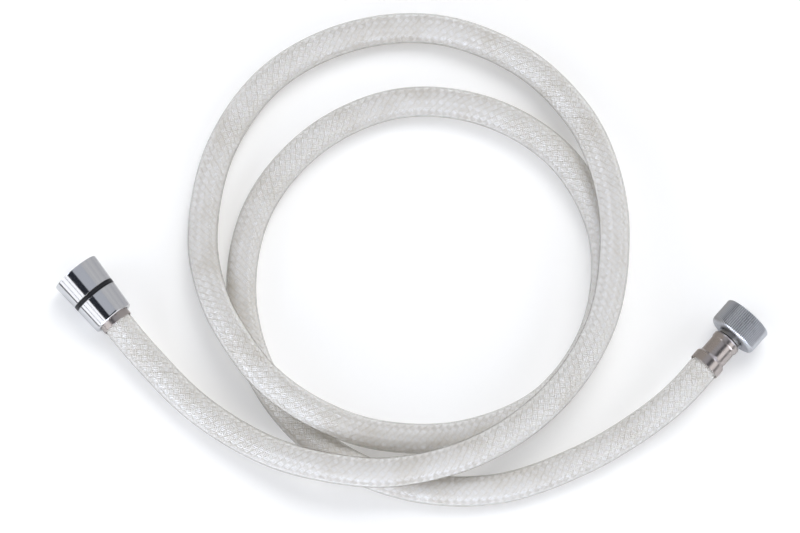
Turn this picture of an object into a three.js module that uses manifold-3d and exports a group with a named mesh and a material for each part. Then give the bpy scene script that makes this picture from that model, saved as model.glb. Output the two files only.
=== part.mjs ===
// A flexible shower hose lying in loose coils on a flat surface, in millimetres with +Z up.
//
// The hose is a braided tube. At the handset end it carries a two-part cone that swivels, and at the mixer
// end a knurled nut. Both ends are crimped onto barbed tails under metal ferrules, and both nuts have a
// G 1/2 mouth with a sealing washer. The origin lies under the middle of the coils, on the surface.
import * as THREE from 'three';
import { mergeVertices } from 'three/addons/utils/BufferGeometryUtils.js';
import Module from 'manifold-3d';

const wasm = await Module();
wasm.setup();

// Hose
const hoseDiameter = 14;
const hoseBore = 8.4;
const strandGap = 0.5;
const hoseSides = 12;
const hoseSteps = 80;

// Crimp between the hose and its two fittings
const crimpedDiameter = 11.7;
const crimpedBore = 7.9;
const crimpOverlap = 2;
const handsetCrimpLength = 6.7;
const mixerCrimpLength = 11.9;

// Ferrules
const ferruleWall = 0.4;
const flareLength = 4.3;
const ferruleLip = 0.8;
const ferruleRoll = 1.2;
const beadLength = 2.2;
const beadHeight = 0.45;

// Barbed tails
const waterway = 4.8;
const barbLength = 2.4;
const barbDepth = 0.5;
const handsetBarbs = 4;
const mixerBarbs = 5;

// Swivel in the handset end
const socketBore = 9.8;
const socketWall = 1.7;
const socketDepth = 6.5;
const socketFloor = 1;
const collarDiameter = 15.4;
const collarLength = 3.4;
const slipWasherThickness = 0.5;
const oRingSection = 0.9;
const oRingCount = 2;
const sealLand = 0.5;
const snapRingThickness = 0.8;
const snapRingWidth = 1;

// Cone at the handset end
const coneLength = 28.4;
const coneRearDiameter = 19.8;
const coneMouthDiameter = 23.5;
const coneRearRound = 1.3;
const coneMouthRound = 0.6;
const trimRingLength = 1.7;
const trimRingMiddle = 14.2;
const trimRingStandOff = 0.55;

// Knurled nut at the mixer end
const nutDiameter = 24;
const nutLength = 12.6;
const nutRearRound = 2.2;
const nutMouthChamfer = 0.5;
const knurlCount = 72;
const knurlDepth = 0.45;
const nutStandOff = 1.9;
const shoulderLength = 0.8;
const shoulderDiameter = 11.6;
const neckDiameter = 10.8;
const nutWebThickness = 2.2;

// G 1/2 mouths and washers of both nuts
const flangeDiameter = 17.9;
const mouthChamfer = 0.6;
const flangeThickness = 1.6;
const washerThickness = 2;
const washerBore = 10;

// Clearances
const gap = 0.3;
const slideGap = 0.25;
const flangeClearance = 0.35;
const coneNutPlay = 0.4;
const knurledNutPlay = 0.9;

// Facets round the turned pieces
const coneSides = 36;
const turnedSides = 28;
const ringSides = 24;

// The free stretch as it lies, from the crimp at the handset end to the crimp at the mixer end. Each point
// has its x, its y and how far it has climbed from the surface (0) to the top of another strand (1).
const route = [
  [-137.7, -28.8, 0], [-124, -45.5, 0], [-98, -72, 0.03], [-66, -93, 0.32], [-37, -103.5, 0.9],
  [-7, -106, 1], [33, -95, 1], [67, -70, 1], [89, -34, 1], [95, 9, 1],
  [90, 41, 0.78], [78, 68, 0.34], [53, 94, 0.07], [14, 110, 0.01], [-27, 107, 0],
  [-64, 87, 0], [-88, 52, 0.01], [-96, 10, 0.1], [-91, -20, 0.56], [-80, -43, 0.94],
  [-65.5, -62, 1], [-42.5, -78, 0.88], [-14, -86, 0.32], [25, -85, 0.05], [63, -68, 0.01],
  [86.5, -33, 0], [90, 10, 0], [71, 48, 0], [36, 70.5, 0], [-5, 74.5, 0],
  [-43, 57.5, 0], [-70, 24.5, 0], [-78, -17, 0], [-67, -58.5, 0], [-39.5, -91, 0],
  [-2, -108.5, 0], [40, -110.5, 0.01], [79, -97, 0.03], [107.4, -80.3, 0.14], [124.8, -66.6, 0], [138.9, -50.4, 0],
];

const materials = {
  braidedHose: { color: 0xe6e7e8, roughness: 0.35, metalness: 0 },
  chrome: { color: 0xd8dbdf, roughness: 0.08, metalness: 1 },
  nickel: { color: 0xb5aaa3, roughness: 0.2, metalness: 1 },
  brass: { color: 0xc9a45c, roughness: 0.35, metalness: 1 },
  steel: { color: 0xa9acb0, roughness: 0.3, metalness: 1 },
  blackPlastic: { color: 0x1b1c1f, roughness: 0.35, metalness: 0 },
  acetal: { color: 0xf1efe8, roughness: 0.5, metalness: 0 },
  rubber: { color: 0x222325, roughness: 0.8, metalness: 0 },
};

function mesh(name, geometry, material) {
  const object = new THREE.Mesh(geometry, new THREE.MeshStandardMaterial(materials[material]));
  object.name = name;
  return object;
}

// Turned shapes: an outline of [radius, distance along the axis] pairs, revolved about the Y axis
function revolve(outline, sides) {
  const points = outline.map(([radius, along]) => new THREE.Vector2(radius, along));
  if (THREE.ShapeUtils.area(points) < 0) points.reverse();
  points.push(points[0].clone());
  return new THREE.LatheGeometry(points, sides);
}

function ringOutline(innerRadius, outerRadius, start, end) {
  return [[innerRadius, start], [outerRadius, start], [outerRadius, end], [innerRadius, end]];
}

// A quarter round from one direction to another about a centre, angles in quarter turns
function quarterRound(centreRadius, centreAlong, radius, from, to, steps = 3) {
  return Array.from({ length: steps + 1 }, (_, i) => {
    const angle = (from + ((to - from) * i) / steps) * (Math.PI / 2);
    return [centreRadius + radius * Math.cos(angle), centreAlong + radius * Math.sin(angle)];
  });
}

// Solids for cutting and joining, and back to three.js geometry
function toSolid(geometry) {
  const bare = geometry.clone();
  bare.deleteAttribute('normal');
  bare.deleteAttribute('uv');
  const merged = mergeVertices(bare, 1e-4);
  return new wasm.Manifold(new wasm.Mesh({
    numProp: 3,
    vertProperties: new Float32Array(merged.attributes.position.array),
    triVerts: new Uint32Array(merged.index.array),
  }));
}

function toGeometry(solid) {
  const result = solid.getMesh();
  const geometry = new THREE.BufferGeometry();
  geometry.setAttribute('position', new THREE.BufferAttribute(result.vertProperties, result.numProp));
  geometry.setIndex(new THREE.BufferAttribute(result.triVerts, 1));
  geometry.computeVertexNormals();
  return geometry;
}

// Cone: its half angle, and its radius at a distance forward of its rear end
const coneSlope = (coneMouthDiameter - coneRearDiameter) / 2 / coneLength;
const coneTilt = Math.atan(coneSlope);
const coneRadiusAt = (forward) => coneRearDiameter / 2 + forward * coneSlope;

// Distances along the handset end's axis, from the hose's cut end (0) outwards to the mouth
const ferruleFront = gap + ferruleLip;
const tailRear = ferruleFront + gap;
const trimRingRear = tailRear + collarLength + trimRingStandOff;
const trimRingFront = trimRingRear + trimRingLength;
const coneRear = trimRingRear + trimRingLength / 2 - trimRingMiddle;
const coneMouth = coneRear + coneLength;
const socketRear = tailRear + socketFloor;
const tailFront = socketRear + socketDepth;
const slipWasherRear = tailFront + slideGap;
const flangeRear = slipWasherRear + slipWasherThickness + slideGap;
const flangeFront = flangeRear + flangeThickness;
const handsetWasherRear = flangeFront + gap;

// Radii of the ferrules' flared mouths, and of the G 1/2 thread's crests in both nuts
const flareInside = hoseDiameter / 2 + gap;
const flareOutside = flareInside + ferruleWall;
const threadRadius = flangeDiameter / 2 + flangeClearance;

// Radii inside the swivel
const stemRadius = socketBore / 2 - gap;
const oRingOuterRadius = socketBore / 2 - gap;
const oRingGrooveRadius = oRingOuterRadius - oRingSection - gap;
const snapRingInnerRadius = socketBore / 2 - snapRingWidth / 2 - gap / 2;
const snapRingOuterRadius = snapRingInnerRadius + snapRingWidth;
const socketRadius = socketBore / 2 + socketWall;

// Places of the O-rings and of the snap ring along the stem
const stemEnd = socketRear + gap;
const sealGroove = oRingSection + 2 * slideGap;
const sealPitch = sealLand + sealGroove;
const oRingPlaces = Array.from({ length: oRingCount }, (_, i) => stemEnd + sealLand + sealGroove / 2 + i * sealPitch);
const snapGrooveRear = stemEnd + oRingCount * sealPitch + sealLand;
const snapGroove = snapRingThickness + 2 * slideGap;

// Distances along the mixer end's axis, from the hose's cut end outwards
const nutRear = ferruleFront + nutStandOff;
const nutMouth = nutRear + nutLength;
const mixerFlangeRear = nutRear + nutWebThickness + gap;
const mixerFlangeFront = mixerFlangeRear + flangeThickness;
const mixerWasherRear = mixerFlangeFront + gap;

// Hose: the centreline as it lies, with its ends at the height of the fittings that carry them
function hoseCurve() {
  const layer = hoseDiameter + strandGap;
  const points = route.map(([x, y, climb]) => new THREE.Vector3(x, y, hoseDiameter / 2 + climb * layer));
  const [first, second] = points;
  first.z = coneRadiusAt(-handsetCrimpLength - coneRear) * Math.cos(coneTilt);
  second.z = first.z - Math.tan(coneTilt) * Math.hypot(second.x - first.x, second.y - first.y);
  points.at(-1).z = nutDiameter / 2;
  points.at(-2).z = nutDiameter / 2;
  return new THREE.CatmullRomCurve3(points, false, 'centripetal');
}

function hoseTube(curve) {
  const section = new THREE.Shape();
  section.absarc(0, 0, hoseDiameter / 2, 0, 2 * Math.PI);
  const bore = new THREE.Path();
  bore.absarc(0, 0, hoseBore / 2, 0, 2 * Math.PI);
  section.holes.push(bore);
  return new THREE.ExtrudeGeometry(section, {
    extrudePath: curve,
    steps: hoseSteps,
    curveSegments: hoseSides / 2,
  });
}

// A fitting's frame: its Y axis carries on from the hose's last two points, and its Z axis is as near
// upwards as it can be. Its origin is the hose's cut end.
function fittingFrame(endPoint, nextPoint, crimpLength) {
  const outwards = endPoint.clone().sub(nextPoint).normalize();
  const sideways = new THREE.Vector3().crossVectors(outwards, new THREE.Vector3(0, 0, 1)).normalize();
  const upwards = new THREE.Vector3().crossVectors(sideways, outwards);
  const frame = new THREE.Matrix4().makeBasis(sideways, outwards, upwards);
  return frame.setPosition(endPoint.clone().addScaledVector(outwards, crimpLength));
}

function crimpedEnd(frame, crimpLength) {
  const outline = ringOutline(crimpedBore / 2, crimpedDiameter / 2, -crimpLength - crimpOverlap, 0);
  return toSolid(revolve(outline, ringSides).applyMatrix4(frame));
}

function makeHose(curve, handsetFrame, mixerFrame) {
  const solid = toSolid(hoseTube(curve))
    .add(crimpedEnd(handsetFrame, handsetCrimpLength))
    .add(crimpedEnd(mixerFrame, mixerCrimpLength));
  return mesh('hose', toGeometry(solid), 'braidedHose');
}

// Ferrule: a flared mouth over the full hose, a crimped neck, a rolled bead and a lip behind the tail
function makeFerrule(name, crimpLength) {
  const neckInside = crimpedDiameter / 2 + gap;
  const neckOutside = neckInside + ferruleWall;
  const beadOutside = neckOutside + beadHeight;
  const lipInside = crimpedBore / 2 - gap;
  const rear = -crimpLength - flareLength;
  const step = -crimpLength + gap;
  const bead = ferruleFront - ferruleRoll - beadLength;
  const outline = [
    [flareInside, rear], [flareOutside, rear], [flareOutside, step],
    [neckOutside, step + ferruleRoll], [neckOutside, bead - ferruleWall],
    [beadOutside, bead + ferruleWall], [beadOutside, bead + beadLength],
    ...quarterRound(beadOutside - ferruleRoll, ferruleFront - ferruleRoll, ferruleRoll, 0, 1),
    [lipInside, ferruleFront], [lipInside, gap], [neckInside, gap],
    [neckInside, step + ferruleRoll], [flareInside, step],
  ];
  return mesh(name, revolve(outline, turnedSides), 'nickel');
}

// Barbs: saw teeth that rise towards the fitting, listed from the tail's rear end
function barbOutline(barbs) {
  const tip = crimpedBore / 2 - gap;
  const root = tip - barbDepth;
  const start = gap - barbs * barbLength;
  return Array.from({ length: barbs }, (_, i) => [
    [root, start + i * barbLength],
    [tip, start + (i + 0.75) * barbLength],
  ]).flat().concat([[root, gap]]);
}

function makeHandsetTail() {
  const barbs = barbOutline(handsetBarbs);
  const socket = socketBore / 2;
  const snapSeat = snapRingOuterRadius + gap;
  const neck = barbs.at(-1)[0];
  const outline = [
    [waterway / 2, barbs[0][1]], ...barbs, [neck, tailRear],
    [collarDiameter / 2, tailRear], [collarDiameter / 2, tailRear + collarLength],
    [socketRadius, tailRear + collarLength], [socketRadius, tailFront], [socket, tailFront],
    [socket, snapGrooveRear + snapGroove], [snapSeat, snapGrooveRear + snapGroove],
    [snapSeat, snapGrooveRear], [socket, snapGrooveRear], [socket, socketRear], [waterway / 2, socketRear],
  ];
  return mesh('handset_hose_tail', revolve(outline, turnedSides), 'brass');
}

function makeMixerTail() {
  const barbs = barbOutline(mixerBarbs);
  const neck = barbs.at(-1)[0];
  const outline = [
    [waterway / 2, barbs[0][1]], ...barbs, [neck, tailRear],
    [shoulderDiameter / 2, tailRear], [shoulderDiameter / 2, tailRear + shoulderLength],
    [neckDiameter / 2, tailRear + shoulderLength], [neckDiameter / 2, mixerFlangeRear],
    [flangeDiameter / 2, mixerFlangeRear], [flangeDiameter / 2, mixerFlangeFront],
    [waterway / 2, mixerFlangeFront],
  ];
  return mesh('mixer_hose_tail', revolve(outline, turnedSides), 'brass');
}

// Swivel: a grooved spindle that turns in the tail's socket, sealed by O-rings and held by a snap ring
function makeSpindle() {
  const seals = oRingPlaces.flatMap((place) => [
    [stemRadius, place - sealGroove / 2], [oRingGrooveRadius, place - sealGroove / 2],
    [oRingGrooveRadius, place + sealGroove / 2], [stemRadius, place + sealGroove / 2],
  ]);
  const snapFloor = snapRingInnerRadius - gap;
  const outline = [
    [waterway / 2, stemEnd], [stemRadius, stemEnd], ...seals,
    [stemRadius, snapGrooveRear], [snapFloor, snapGrooveRear],
    [snapFloor, snapGrooveRear + snapGroove], [stemRadius, snapGrooveRear + snapGroove],
    [stemRadius, flangeRear], [flangeDiameter / 2, flangeRear], [flangeDiameter / 2, flangeFront],
    [waterway / 2, flangeFront],
  ];
  return mesh('swivel_spindle', revolve(outline, turnedSides), 'brass');
}

function makeORing(index) {
  const section = oRingSection / 2;
  const ring = new THREE.TorusGeometry(oRingOuterRadius - section, section, 8, ringSides);
  ring.rotateX(Math.PI / 2).translate(0, oRingPlaces[index], 0);
  return mesh(`spindle_o_ring_${index + 1}`, ring, 'rubber');
}

function makeSnapRing() {
  const opening = 0.35;
  const shape = new THREE.Shape();
  shape.absarc(0, 0, snapRingOuterRadius, opening, 2 * Math.PI - opening, false);
  shape.absarc(0, 0, snapRingInnerRadius, 2 * Math.PI - opening, opening, true);
  const ring = new THREE.ExtrudeGeometry(shape, {
    depth: snapRingThickness,
    bevelEnabled: false,
    curveSegments: ringSides / 2,
  });
  ring.rotateX(-Math.PI / 2).translate(0, snapGrooveRear + slideGap, 0);
  return mesh('snap_ring', ring, 'steel');
}

function makeSlipWasher() {
  const outline = ringOutline(stemRadius + gap, socketRadius, slipWasherRear, slipWasherRear + slipWasherThickness);
  return mesh('slip_washer', revolve(outline, ringSides), 'acetal');
}

// Cone: a rear sleeve over the ferrule, a black ring, and the front half that is the turning nut
function makeConeSleeve() {
  const rearBore = flareOutside + gap;
  const frontBore = collarDiameter / 2 + gap;
  const front = trimRingRear - gap;
  const rearRadius = coneRadiusAt(0);
  const round = Math.min(coneRearRound, 0.8 * (rearRadius - rearBore));
  const outline = [
    [rearBore, coneRear], ...quarterRound(rearRadius - round, coneRear + round, round, -1, 0).slice(0, -1),
    [coneRadiusAt(round), coneRear + round], [coneRadiusAt(front - coneRear), front],
    [frontBore, front], [frontBore, tailRear], [rearBore, ferruleRoll - handsetCrimpLength],
  ];
  return mesh('cone_sleeve', revolve(outline, coneSides), 'chrome');
}

function makeTrimRing() {
  const inside = socketRadius + gap;
  const outline = [
    [inside, trimRingRear], [coneRadiusAt(trimRingRear - coneRear), trimRingRear],
    [coneRadiusAt(trimRingFront - coneRear), trimRingFront], [inside, trimRingFront],
  ];
  return mesh('trim_ring', revolve(outline, coneSides), 'blackPlastic');
}

function makeConeNut() {
  const rear = trimRingFront + gap;
  const webFront = flangeRear - gap;
  const hole = socketRadius + coneNutPlay;
  const mouthRadius = coneRadiusAt(coneLength - coneMouthRound);
  const outline = [
    [hole, rear], [coneRadiusAt(rear - coneRear), rear],
    ...quarterRound(mouthRadius - coneMouthRound, coneMouth - coneMouthRound, coneMouthRound, 0, 1),
    [threadRadius + mouthChamfer, coneMouth], [threadRadius, coneMouth - mouthChamfer],
    [threadRadius, webFront], [hole, webFront],
  ];
  return mesh('cone_nut', revolve(outline, coneSides), 'chrome');
}

function makeWasher(name, rear) {
  const outline = ringOutline(washerBore / 2, flangeDiameter / 2, rear, rear + washerThickness);
  return mesh(name, revolve(outline, ringSides), 'rubber');
}

// Knurled nut: a turned blank whose every other edge line is sunk to the knurl's root, then bored out
function knurledBlank() {
  const radius = nutDiameter / 2;
  const root = radius - knurlDepth;
  const outline = [
    ...quarterRound(radius - nutRearRound, nutRear + nutRearRound, nutRearRound, -1, 0),
    [radius, nutMouth - nutMouthChamfer], [radius - nutMouthChamfer, nutMouth],
  ];
  const points = [[0, nutRear], ...outline, [0, nutMouth]].map(([r, along]) => new THREE.Vector2(r, along));
  const blank = new THREE.LatheGeometry(points, 2 * knurlCount);
  const position = blank.attributes.position;
  for (let column = 1; column < 2 * knurlCount; column += 2) {
    for (let row = 0; row < points.length; row += 1) {
      const vertex = column * points.length + row;
      const shrink = Math.min(1, root / Math.max(points[row].x, root));
      position.setX(vertex, position.getX(vertex) * shrink);
      position.setZ(vertex, position.getZ(vertex) * shrink);
    }
  }
  return blank;
}

function makeKnurledNut() {
  const past = 1;
  const hole = neckDiameter / 2 + knurledNutPlay;
  const cutter = revolve([
    [0, nutRear - past], [hole + mouthChamfer, nutRear - past], [hole + mouthChamfer, nutRear],
    [hole, nutRear + mouthChamfer], [hole, nutRear + nutWebThickness],
    [threadRadius, nutRear + nutWebThickness], [threadRadius, nutMouth - mouthChamfer],
    [threadRadius + mouthChamfer, nutMouth], [threadRadius + mouthChamfer, nutMouth + past], [0, nutMouth + past],
  ], coneSides);
  return mesh('knurled_nut', toGeometry(toSolid(knurledBlank()).subtract(toSolid(cutter))), 'chrome');
}

function placed(frame, pieces) {
  const group = new THREE.Group();
  group.add(...pieces);
  group.applyMatrix4(frame);
  return group;
}

function makeShowerHose() {
  const curve = hoseCurve();
  const handsetFrame = fittingFrame(curve.points[0], curve.points[1], handsetCrimpLength);
  const mixerFrame = fittingFrame(curve.points.at(-1), curve.points.at(-2), mixerCrimpLength);
  const hose = new THREE.Group();
  hose.add(makeHose(curve, handsetFrame, mixerFrame));
  hose.add(placed(handsetFrame, [
    makeFerrule('handset_ferrule', handsetCrimpLength),
    makeHandsetTail(),
    makeSpindle(),
    ...oRingPlaces.map((_, index) => makeORing(index)),
    makeSnapRing(),
    makeSlipWasher(),
    makeConeSleeve(),
    makeTrimRing(),
    makeConeNut(),
    makeWasher('handset_washer', handsetWasherRear),
  ]));
  hose.add(placed(mixerFrame, [
    makeFerrule('mixer_ferrule', mixerCrimpLength),
    makeMixerTail(),
    makeKnurledNut(),
    makeWasher('mixer_washer', mixerWasherRear),
  ]));
  return hose;
}

export default makeShowerHose();
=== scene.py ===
"""The looks of a braided shower hose that lies in loose coils.

It has a swivelling cone at one end and a knurled nut at the other. Every piece is a surface worked out
with numpy in millimetres and put into its mesh in metres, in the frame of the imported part. The hose is a
clear jacket over a braid of yarn over a white inner tube.
"""

import logging
from dataclasses import dataclass
from enum import Enum
from typing import Any, Callable, Dict, List, Optional, Sequence, Tuple, Union

import bpy
import numpy as np
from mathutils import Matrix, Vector


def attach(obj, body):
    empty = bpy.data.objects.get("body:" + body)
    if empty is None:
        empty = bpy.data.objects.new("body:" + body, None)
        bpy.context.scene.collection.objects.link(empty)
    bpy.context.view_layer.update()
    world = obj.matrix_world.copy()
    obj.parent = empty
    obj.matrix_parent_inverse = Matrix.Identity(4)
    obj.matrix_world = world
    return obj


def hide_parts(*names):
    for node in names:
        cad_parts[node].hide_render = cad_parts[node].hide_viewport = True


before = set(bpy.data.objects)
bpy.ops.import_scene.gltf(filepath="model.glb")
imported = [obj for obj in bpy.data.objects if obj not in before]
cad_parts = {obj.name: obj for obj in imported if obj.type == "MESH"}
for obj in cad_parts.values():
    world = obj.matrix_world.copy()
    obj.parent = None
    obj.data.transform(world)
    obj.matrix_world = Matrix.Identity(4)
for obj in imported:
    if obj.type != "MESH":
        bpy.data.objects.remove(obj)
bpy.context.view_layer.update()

MM = 0.001
# Strands in each lay of the braid, the distance along the hose between them, and ridges round the nut.
STRANDS = 10
STRAND_PITCH = 3.58
KNURLS = 72
Array = np.ndarray
Colour = Tuple[float, float, float]
log = logging.getLogger("shower_hose")


class Body(Enum):
    """The bodies that pieces move with."""

    HOSE = "hose_and_crimps"
    SPINDLE = "spindle"
    HANDSET_NUT = "handset_nut"
    MIXER_NUT = "mixer_nut"


class Slot(Enum):
    """The material slots of the part's record."""

    HOSE = "braided_hose"
    CHROME = "chrome"
    FERRULE = "nickel_ferrule"
    BRASS = "brass"
    NICKEL = "nickel_plate"
    STEEL = "spring_steel"
    BLACK = "black_plastic"
    ACETAL = "acetal"
    RUBBER = "rubber_seal"


class Lay(Enum):
    """The two ways that yarns wind round the hose."""

    RIGHT = 1
    LEFT = -1


# Shader maths


class Socket:
    """A number inside a node tree. Python's operators on it add Math nodes."""

    def __init__(self, graph: "Graph", output: bpy.types.NodeSocket) -> None:
        """Keeps the graph and the output that carries the number."""
        self.graph = graph
        self.output = output

    def __add__(self, other: "Number") -> "Socket":
        """Sum."""
        return self.graph.math("ADD", self, other)

    def __sub__(self, other: "Number") -> "Socket":
        """Difference."""
        return self.graph.math("SUBTRACT", self, other)

    def __rsub__(self, other: "Number") -> "Socket":
        """Difference with the number on the left."""
        return self.graph.math("SUBTRACT", other, self)

    def __mul__(self, other: "Number") -> "Socket":
        """Product."""
        return self.graph.math("MULTIPLY", self, other)

    def __truediv__(self, other: "Number") -> "Socket":
        """Quotient."""
        return self.graph.math("DIVIDE", self, other)

    def __pow__(self, other: "Number") -> "Socket":
        """Power."""
        return self.graph.math("POWER", self, other)

    def __abs__(self) -> "Socket":
        """Absolute value."""
        return self.graph.math("ABSOLUTE", self)

    __radd__ = __add__
    __rmul__ = __mul__


Number = Union[float, Socket]


class Graph:
    """A node tree that is written as expressions."""

    def __init__(self, tree: bpy.types.NodeTree) -> None:
        """Empties the tree and keeps it."""
        self.tree = tree
        tree.nodes.clear()

    def node(
        self, kind: str, settings: Optional[Dict[str, Any]] = None, inputs: Optional[Dict[Any, Any]] = None
    ) -> bpy.types.Node:
        """Adds a node.

        Args:
            kind: the node's type without the leading ShaderNode.
            settings: properties, which are set first.
            inputs: values or links of its sockets, by name or by index.

        Returns:
            The node.
        """
        made = self.tree.nodes.new("ShaderNode" + kind)
        for key, value in (settings or {}).items():
            setattr(made, key, value)
        for key, value in (inputs or {}).items():
            if isinstance(value, Socket):
                value = value.output
            if isinstance(value, bpy.types.NodeSocket):
                self.tree.links.new(value, made.inputs[key])
            else:
                made.inputs[key].default_value = value
        return made

    def math(self, operation: str, *values: Number) -> Socket:
        """Adds a Math node for an operation on numbers."""
        made = self.node("Math", {"operation": operation}, dict(enumerate(values)))
        return Socket(self, made.outputs[0])

    def step(self, value: Number, low: float, high: float) -> Socket:
        """A smooth rise from 0 at low to 1 at high."""
        made = self.node("MapRange", {"interpolation_type": "SMOOTHSTEP"}, {0: value, 1: low, 2: high})
        return Socket(self, made.outputs[0])

    def cosine(self, angle: Number) -> Socket:
        """The cosine of an angle."""
        return self.math("COSINE", angle)

    def band(self, value: Number, low: float, high: float, soft: float) -> Socket:
        """1 between low and high and 0 outside, with edges that are soft wide."""
        rise = self.step(value, low - soft, low + soft)
        return rise * (1.0 - self.step(value, high - soft, high + soft))

    def dot(self, vector: bpy.types.NodeSocket, other: Sequence[float]) -> Socket:
        """The dot product of a vector with a fixed one."""
        made = self.node("VectorMath", {"operation": "DOT_PRODUCT"}, {0: vector, 1: tuple(other)})
        return Socket(self, made.outputs["Value"])

    def mix(self, factor: Number, first: Any, second: Any) -> bpy.types.NodeSocket:
        """A colour that goes from first to second with the factor.

        Args:
            factor: 0 gives first and 1 gives second.
            first: a colour or a colour socket.
            second: a colour or a colour socket.

        Returns:
            The colour socket.
        """
        colours = [(*c, 1.0) if isinstance(c, tuple) else c for c in (first, second)]
        made = self.node("Mix", {"data_type": "RGBA"}, {0: factor, 6: colours[0], 7: colours[1]})
        return made.outputs[2]

    def noise(
        self, vector: bpy.types.NodeSocket, scale: float, detail: float = 3.0, roughness: float = 0.5
    ) -> Socket:
        """Noise between 0 and 1 at a point."""
        inputs = {"Vector": vector, "Scale": scale, "Detail": detail, "Roughness": roughness}
        return Socket(self, self.node("TexNoise", inputs=inputs).outputs[0])

    def clouds(self, scale: float, detail: float = 3.0) -> Socket:
        """Noise between 0 and 1 in the space of the piece, in cells a metre."""
        return self.noise(self.node("TexCoord").outputs["Object"], scale, detail)

    def stretched(self, source: str, scale: Sequence[float]) -> bpy.types.NodeSocket:
        """A texture coordinate, scaled on each axis."""
        coordinate = self.node("TexCoord").outputs[source]
        return self.node("Mapping", inputs={"Vector": coordinate, "Scale": tuple(scale)}).outputs[0]

    def uv(self) -> Tuple[Socket, Socket]:
        """The two numbers of the piece's UV map."""
        split = self.node("SeparateXYZ", inputs={0: self.node("TexCoord").outputs["UV"]})
        return Socket(self, split.outputs[0]), Socket(self, split.outputs[1])

    def slant(self) -> Socket:
        """How much the surface is seen edge-on, from 0 to 1."""
        return Socket(self, self.node("LayerWeight", inputs={"Blend": 0.35}).outputs["Facing"])

    def seen(self) -> Socket:
        """1 where the camera itself looks, and 0 for light and mirrors."""
        return Socket(self, self.node("LightPath").outputs["Is Camera Ray"])

    def bump(self, height: Socket, strength: float, distance: float) -> bpy.types.NodeSocket:
        """A normal that is bumped by a height, with the distance in metres."""
        inputs = {"Height": height, "Strength": strength, "Distance": distance}
        return self.node("Bump", inputs=inputs).outputs[0]


# Finishes


@dataclass(frozen=True)
class Finish:
    """A finish: one Principled surface, whose changes over the surface come from shade.

    Args:
        name: the material's name.
        colour: base colour.
        roughness: base roughness.
        metallic: 1 for a metal.
        ior: index of refraction.
    """

    name: str
    colour: Colour
    roughness: float
    metallic: float = 0.0
    ior: float = 1.5

    def material(self) -> bpy.types.Material:
        """The material, made on first use.

        Returns:
            The Blender material.
        """
        known = bpy.data.materials.get(self.name)
        if known is not None:
            return known
        made = bpy.data.materials.new(self.name)
        made.use_nodes = True
        made.diffuse_color = (*self.colour, 1.0)
        graph = Graph(made.node_tree)
        inputs = {
            "Base Color": (*self.colour, 1.0),
            "Roughness": self.roughness,
            "Metallic": self.metallic,
            "IOR": self.ior,
        }
        inputs.update(self.shade(graph))
        graph.node("OutputMaterial", inputs={"Surface": self.surface(graph, inputs)})
        return made

    def surface(self, graph: Graph, inputs: Dict[str, Any]) -> bpy.types.NodeSocket:
        """The shader: one Principled node."""
        return graph.node("BsdfPrincipled", inputs=inputs).outputs[0]

    def shade(self, graph: Graph) -> Dict[str, Any]:
        """What changes over the surface, as sockets of the Principled node."""
        return {}


@dataclass(frozen=True)
class TurnedMetal(Finish):
    """Turned metal: fine rings from the tool or the polishing, and a cloudy change of gloss.

    Args:
        shadow: the colour that the clouds lead to.
        ring_depth: depth of the rings in metres.
        cloud: how much the roughness changes.
    """

    shadow: Colour = (0.7, 0.7, 0.72)
    ring_depth: float = 0.000002
    cloud: float = 0.05

    def shade(self, graph: Graph) -> Dict[str, Any]:
        """Rings from noise that is stretched round the axis, clouds from wide noise."""
        rings = graph.noise(graph.stretched("UV", (0.4, 9.0, 1.0)), 6.0, 4.0, 0.6)
        clouds = graph.clouds(160.0, 2.0)
        return {
            "Base Color": graph.mix(clouds * 0.6, self.colour, self.shadow),
            "Roughness": self.roughness + self.cloud * (clouds - 0.4) + self.cloud * 0.5 * rings,
            "Normal": graph.bump(rings, 0.5, self.ring_depth),
        }


@dataclass(frozen=True)
class KnurledMetal(TurnedMetal):
    """Turned metal with a knurl, with painted shade in its grooves.

    Args:
        ridges: ridges round the axis.
        groove: colour of the painted shade in the grooves.
    """

    ridges: int = KNURLS
    groove: Colour = (0.33, 0.35, 0.38)

    def shade(self, graph: Graph) -> Dict[str, Any]:
        """Adds to the turned metal a painted shade in the grooves, from a cosine of the turn."""
        parts = super().shade(graph)
        turn, _ = graph.uv()
        # painted shade in the grooves between the ridges, patchy with noise
        groove = 0.5 - 0.5 * graph.cosine(turn * (2 * np.pi * self.ridges))
        share = groove**2.0 * (0.45 + 0.6 * graph.clouds(400.0))
        parts["Base Color"] = graph.mix(share, parts["Base Color"], self.groove)
        return parts


@dataclass(frozen=True)
class Moulded(Finish):
    """Moulded plastic or rubber: a fine grain with a slight change of colour.

    Args:
        second: the colour of the grain's high spots.
        grain: how fine the grain is, in cells a metre.
        depth: depth of the grain in metres.
    """

    second: Colour = (0.05, 0.05, 0.05)
    grain: float = 2500.0
    depth: float = 0.00002

    def shade(self, graph: Graph) -> Dict[str, Any]:
        """Grain from fine noise, which moves colour, gloss and height."""
        grain = graph.clouds(self.grain)
        return {
            "Base Color": graph.mix(grain, self.colour, self.second),
            "Roughness": self.roughness + 0.15 * (grain - 0.5),
            "Normal": graph.bump(grain, 0.4, self.depth),
        }


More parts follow.
